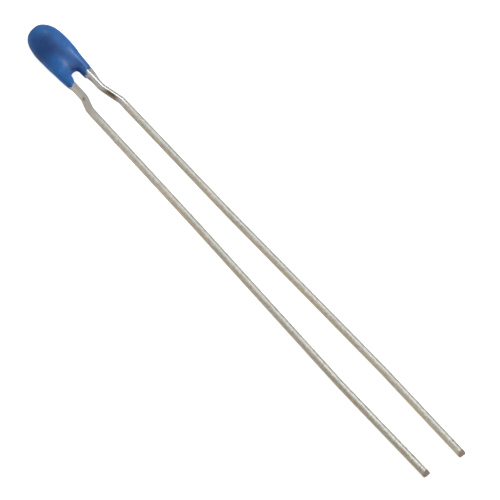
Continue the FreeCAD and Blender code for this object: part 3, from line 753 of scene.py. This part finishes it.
def surface_net(shape, low, high, step):
    """Wraps a mesh of four sided faces round the place where shape passes through 0."""
    axes = [np.arange(a, b, step) for a, b in zip(low, high)]
    grid = np.meshgrid(*axes, indexing="ij")
    value = shape(*grid)
    inside = value < 0
    # one vertex in each cell that the surface passes through, amid its crossings
    cells = tuple(n - 1 for n in value.shape)
    total, crossings = np.zeros(cells + (3,)), np.zeros(cells)
    for axis in range(3):
        others = [a for a in range(3) if a != axis]
        for shift in ((0, 0), (0, 1), (1, 0), (1, 1)):
            near = [slice(0, -1)] * 3
            far = [slice(0, -1)] * 3
            far[axis] = slice(1, None)
            for other, moved in zip(others, shift):
                near[other] = far[other] = slice(1, None) if moved else slice(0, -1)
            a, b = value[tuple(near)], value[tuple(far)]
            crossed = (a < 0) != (b < 0)
            where_on = np.where(crossed, a / np.where(crossed, a - b, 1), 0)
            for k in range(3):
                corner = grid[k][tuple(near)]
                crossing = corner + where_on * step if k == axis else corner
                total[..., k] += np.where(crossed, crossing, 0)
            crossings += crossed
    used = crossings > 0
    number = np.full(cells, -1)
    number[used] = np.arange(used.sum())
    vertices = total[used] / crossings[used][:, None]
    # one face across each edge of the grid that the surface cuts
    faces = []
    for axis in range(3):
        a, b = [k for k in range(3) if k != axis]
        here = [slice(1, -1)] * 3
        ahead = [slice(1, -1)] * 3
        here[axis], ahead[axis] = slice(0, -1), slice(1, None)
        first, second = inside[tuple(here)], inside[tuple(ahead)]
        for flip, crossed in ((False, first & ~second), (True, ~first & second)):
            spots = np.argwhere(crossed)
            spots[:, a] += 1
            spots[:, b] += 1
            corners = []
            for da, db in ((-1, -1), (0, -1), (0, 0), (-1, 0)):
                cell = spots.copy()
                cell[:, a] += da
                cell[:, b] += db
                corners.append(number[cell[:, 0], cell[:, 1], cell[:, 2]])
            quads = np.stack(corners, axis=1)
            if flip != (axis == 1):
                quads = quads[:, ::-1]
            faces.append(quads)
    return vertices, np.vstack(faces)


def settle(vertices, faces, shape, rounds):
    """Evens the mesh out and lays it exactly on the surface, and tells the way outward."""
    edges = np.concatenate([faces[:, [k, (k + 1) % 4]] for k in range(4)])
    for _ in range(rounds):
        pulled, count = np.zeros_like(vertices), np.zeros(len(vertices))
        for a, b in ((0, 1), (1, 0)):
            np.add.at(pulled, edges[:, a], vertices[edges[:, b]])
            np.add.at(count, edges[:, a], 1)
        vertices = 0.5 * vertices + 0.5 * pulled / count[:, None]
        for _ in range(2):
            gap = shape(*vertices.T)
            slope = np.stack(slope_of(shape, *vertices.T, SETTLE_STEP), axis=1)
            size = np.maximum((slope ** 2).sum(axis=1), LEAST_SLOPE)
            vertices = vertices - slope * (gap / size)[:, None]
    length = np.sqrt((slope ** 2).sum(axis=1))[:, None]
    return vertices, slope / np.maximum(length, 1e-6)


def soft_spot(x, y, at, half, turn=0.0, slant=0.0, power=2):
    """1 in the middle of a soft spot seen from above, falling to 0 past its edge."""
    right, up = x - at[0], y - at[1]
    aside = right * math.cos(turn) + up * math.sin(turn) + slant * up
    along = up * math.cos(turn) - right * math.sin(turn)
    return np.exp(-(aside / half[0]) ** power - (along / half[1]) ** power)


vertices, faces = surface_net(coating, SKIN_LOW, SKIN_HIGH, SKIN_STEP)
vertices, outward = settle(vertices, faces, coating, SETTLE_ROUNDS)
# the set lacquer is a little uneven, always inside the true surface
vertices = vertices - outward * sunk(vertices, *LACQUER_WAVE)[:, None]

lacquer, tree, shader, where = new_finish("blue_lacquer")
shader.inputs["Specular IOR Level"].default_value = LACQUER_SHINE
clouds = mottle(tree, where, CLOUD_SIZE, detail=3)
specks = mottle(tree, where, SPECK_SIZE, detail=2)
grain = blend_numbers(tree, SPECK_SHARE, clouds, specks)
colour = tones(tree, grain, [(0.40, LACQUER_CLOUD), (0.60, LACQUER_BLUE)])
# navy over the dark pellet, partly the pellet showing through the lacquer and partly painted shade,
# and painted shade down the hollow, round the notch and in the left leg's drop
navy_pellet_and_painted_shade = times(tree, read_mark(tree, "navy_pellet_and_painted_shade"), spread(tree, clouds, low=1.0, high=0.85))
colour = blend_tones(tree, navy_pellet_and_painted_shade, colour, LACQUER_NAVY_AND_SHADE)
colour = blend_tones(tree, read_mark(tree, "thin"), colour, LACQUER_THIN)
tree.links.new(colour, shader.inputs["Base Color"])
# it dried glossy on the ridges, satin over the pellet and matt at the notch
gloss = spread(tree, read_mark(tree, "gloss"), MATT_ROUGHNESS, GLOSSY_ROUGHNESS, start=0, end=1)
clouded = spread(tree, clouds, low=0.0, high=0.12)
lacquer_roughness = blend_numbers(tree, clouded, gloss, CLOUD_ROUGHNESS)
tree.links.new(lacquer_roughness, shader.inputs["Roughness"])
relief(tree, shader, specks, SPECK_DEPTH, strength=0.35)
relief(tree, shader, clouds, CLOUD_DEPTH, strength=0.4)

skin = mesh_piece("lacquer_skin", at_rest(vertices), faces.tolist(), lacquer)
x, y, _ = vertices.T
# navy over the pellet, partly painted shade, and painted shade down the hollow, round the notch and
# in the drop on the left leg
pellet_and_shade = soft_spot(x, y, at=(-0.50, 2.62), half=(0.92, 1.02), turn=-0.39, power=4)
hollow_shade = soft_spot(x, y, at=(0.30, 0.50), half=(0.42, math.inf), slant=0.20) * ease(y, 2.7, 1.9)
notch_shade = soft_spot(x, y, at=(0.15, 0.05), half=(0.38, 0.40))
drop_shade = soft_spot(x, y, at=(-1.04, -0.78), half=(0.13, 0.30))
clear = ((1 - PELLET_DARK_AND_SHADE * pellet_and_shade) * (1 - HOLLOW_SHADE * hollow_shade)
         * (1 - NOTCH_SHADE * notch_shade) * (1 - DROP_SHADE * drop_shade))
mark(skin, "navy_pellet_and_painted_shade", 1 - clear)
# glossy along the right ridge, on a patch of the left one and on a spot of the head, and
# dull between the legs
ridge = soft_spot(x, y, at=(0.74, 0.0), half=(0.26, math.inf)) * ease(y, 1.65, 1.0)
patch = soft_spot(x, y, at=(-0.38, 0.80), half=(0.42, 0.50), slant=0.5)
head_spot = soft_spot(x, y, at=(0.30, 3.45), half=(0.28, 0.28))
glossy = np.clip(ridge + PATCH_GLOSS * patch + HEAD_GLOSS * head_spot, 0, 1)
between_legs = (ease(y, MATT_FROM, MATT_TO)
                * ease(MATT_HALF_WIDTH - np.abs(x - LEG_LEAN), 0.0, MATT_EDGE))
mark(skin, "gloss", (GLOSS_LEAST + (1 - GLOSS_LEAST) * glossy) * (1 - between_legs))
# the runs of resin on the right wire are clear, and take the colour of the tin under them
resin_clear = np.where(x > OUTER_SIDE, ease(y, *CLEAR_OUTSIDE), ease(y, *CLEAR_INSIDE))
mark(skin, "thin", resin_clear * (x > 0))
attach(skin, "root")
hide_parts("lacquer_coating")

# ---------------------------------------------------------------------------------------
# Studio: a white table under plain soft light, from a window lamp high to the right, whose
# shine is a narrower strip, a weak fill at the front left and a small glint from behind.
# The camera looks down from the lead side through a long lens.
# ---------------------------------------------------------------------------------------
# the lens and the sensor in millimetres, and how far off the camera stands in metres
LENS, SENSOR, DISTANCE = 260.0, 36.0, 0.260
NEAREST_SEEN = 0.01
LOOK_DOWN, LOOK_ROUND = math.radians(68), math.radians(-41.45)
AIM = Vector((0.62904, -0.85334, 0.0)) / MILLIMETRES
WHITE = (1, 1, 1, 1)
FLOOR_WHITE = (0.90, 0.90, 0.90, 1)
FLOOR_HALF = 3.0
FLOOR_ROUGHNESS = 0.9
# how white the table's glow and the room look to the camera and in reflections, and how
# much light the room gives
FLOOR_SEEN, ROOM_SEEN, ROOM_LIGHT = 0.74, 1.0, 0.28
LAMP_DISTANCE = 0.45
# name, the way it stands from the part, length, width, power, colour, and whether it
# lights the part or only shines in it
LAMPS = [
    ("window", (0.47, -0.22, 0.85), 0.40, 0.34, 1.50, (1.0, 0.99, 0.98), True),
    ("window_shine", (0.45, -0.09, 0.89), 0.50, 0.12, 1.75, (0.97, 1.0, 1.0), False),
    ("front_fill", (-0.44, -0.60, 0.66), 0.30, 0.30, 0.45, (1.0, 1.0, 1.0), True),
    ("back_shine", (0.14, 0.66, 0.74), 0.08, 0.08, 0.25, (1.0, 1.0, 1.0), False),
]


def seen_directly(tree):
    """1 for what the camera, a reflection or glass shows, 0 for light that falls on things."""
    rays = tree.nodes.new("ShaderNodeLightPath").outputs
    amount = rays["Is Camera Ray"]
    for other in ("Is Glossy Ray", "Is Transmission Ray"):
        node = tree.nodes.new("ShaderNodeMath")
        node.operation = "MAXIMUM"
        tree.links.new(amount, node.inputs[0])
        tree.links.new(rays[other], node.inputs[1])
        amount = node.outputs["Value"]
    return amount


forward = Vector((-math.sin(LOOK_ROUND) * math.cos(LOOK_DOWN),
                  math.cos(LOOK_ROUND) * math.cos(LOOK_DOWN), -math.sin(LOOK_DOWN)))
camera_data = bpy.data.cameras.new("camera")
camera_data.lens = LENS
camera_data.sensor_width = SENSOR
camera_data.clip_start = NEAREST_SEEN
camera = put_in_scene("camera", camera_data)
camera.location = AIM - forward * DISTANCE
camera.rotation_euler = forward.to_track_quat("-Z", "Y").to_euler()
bpy.context.scene.camera = camera

floor_mesh = bpy.data.meshes.new("floor")
floor_corners = [(x * FLOOR_HALF, y * FLOOR_HALF, 0) for x, y in ((-1, -1), (1, -1), (1, 1), (-1, 1))]
floor_mesh.from_pydata(floor_corners, [], [(0, 1, 2, 3)])
floor = put_in_scene("floor", floor_mesh)

paper = bpy.data.materials.new("white_table")
paper.use_nodes = True
tree = paper.node_tree
shader = tree.nodes["Principled BSDF"]
shader.inputs["Base Color"].default_value = FLOOR_WHITE
shader.inputs["Roughness"].default_value = FLOOR_ROUGHNESS
shader.inputs["Specular IOR Level"].default_value = 0.0
shader.inputs["Emission Color"].default_value = WHITE
floor_glow = times(tree, seen_directly(tree), FLOOR_SEEN)
tree.links.new(floor_glow, shader.inputs["Emission Strength"])
floor_mesh.materials.append(paper)

world = bpy.data.worlds.new("room")
bpy.context.scene.world = world
world.use_nodes = True
tree = world.node_tree
background = tree.nodes["Background"]
background.inputs["Color"].default_value = WHITE
room_glow = blend_numbers(tree, seen_directly(tree), ROOM_LIGHT, ROOM_SEEN)
tree.links.new(room_glow, background.inputs["Strength"])

for name, towards, length, width, power, colour, lights in LAMPS:
    data = bpy.data.lights.new(name, "AREA")
    data.shape = "RECTANGLE"
    data.size, data.size_y = length, width
    data.energy = power
    data.color = colour
    lamp = put_in_scene(name, data)
    way = Vector(towards).normalized()
    lamp.location = way * LAMP_DISTANCE
    lamp.rotation_euler = (-way).to_track_quat("-Z", "Y").to_euler()
    lamp.visible_diffuse = lights
    lamp.visible_glossy = not lights
    lamp.visible_camera = False

bpy.context.scene.view_settings.view_transform = "Standard"
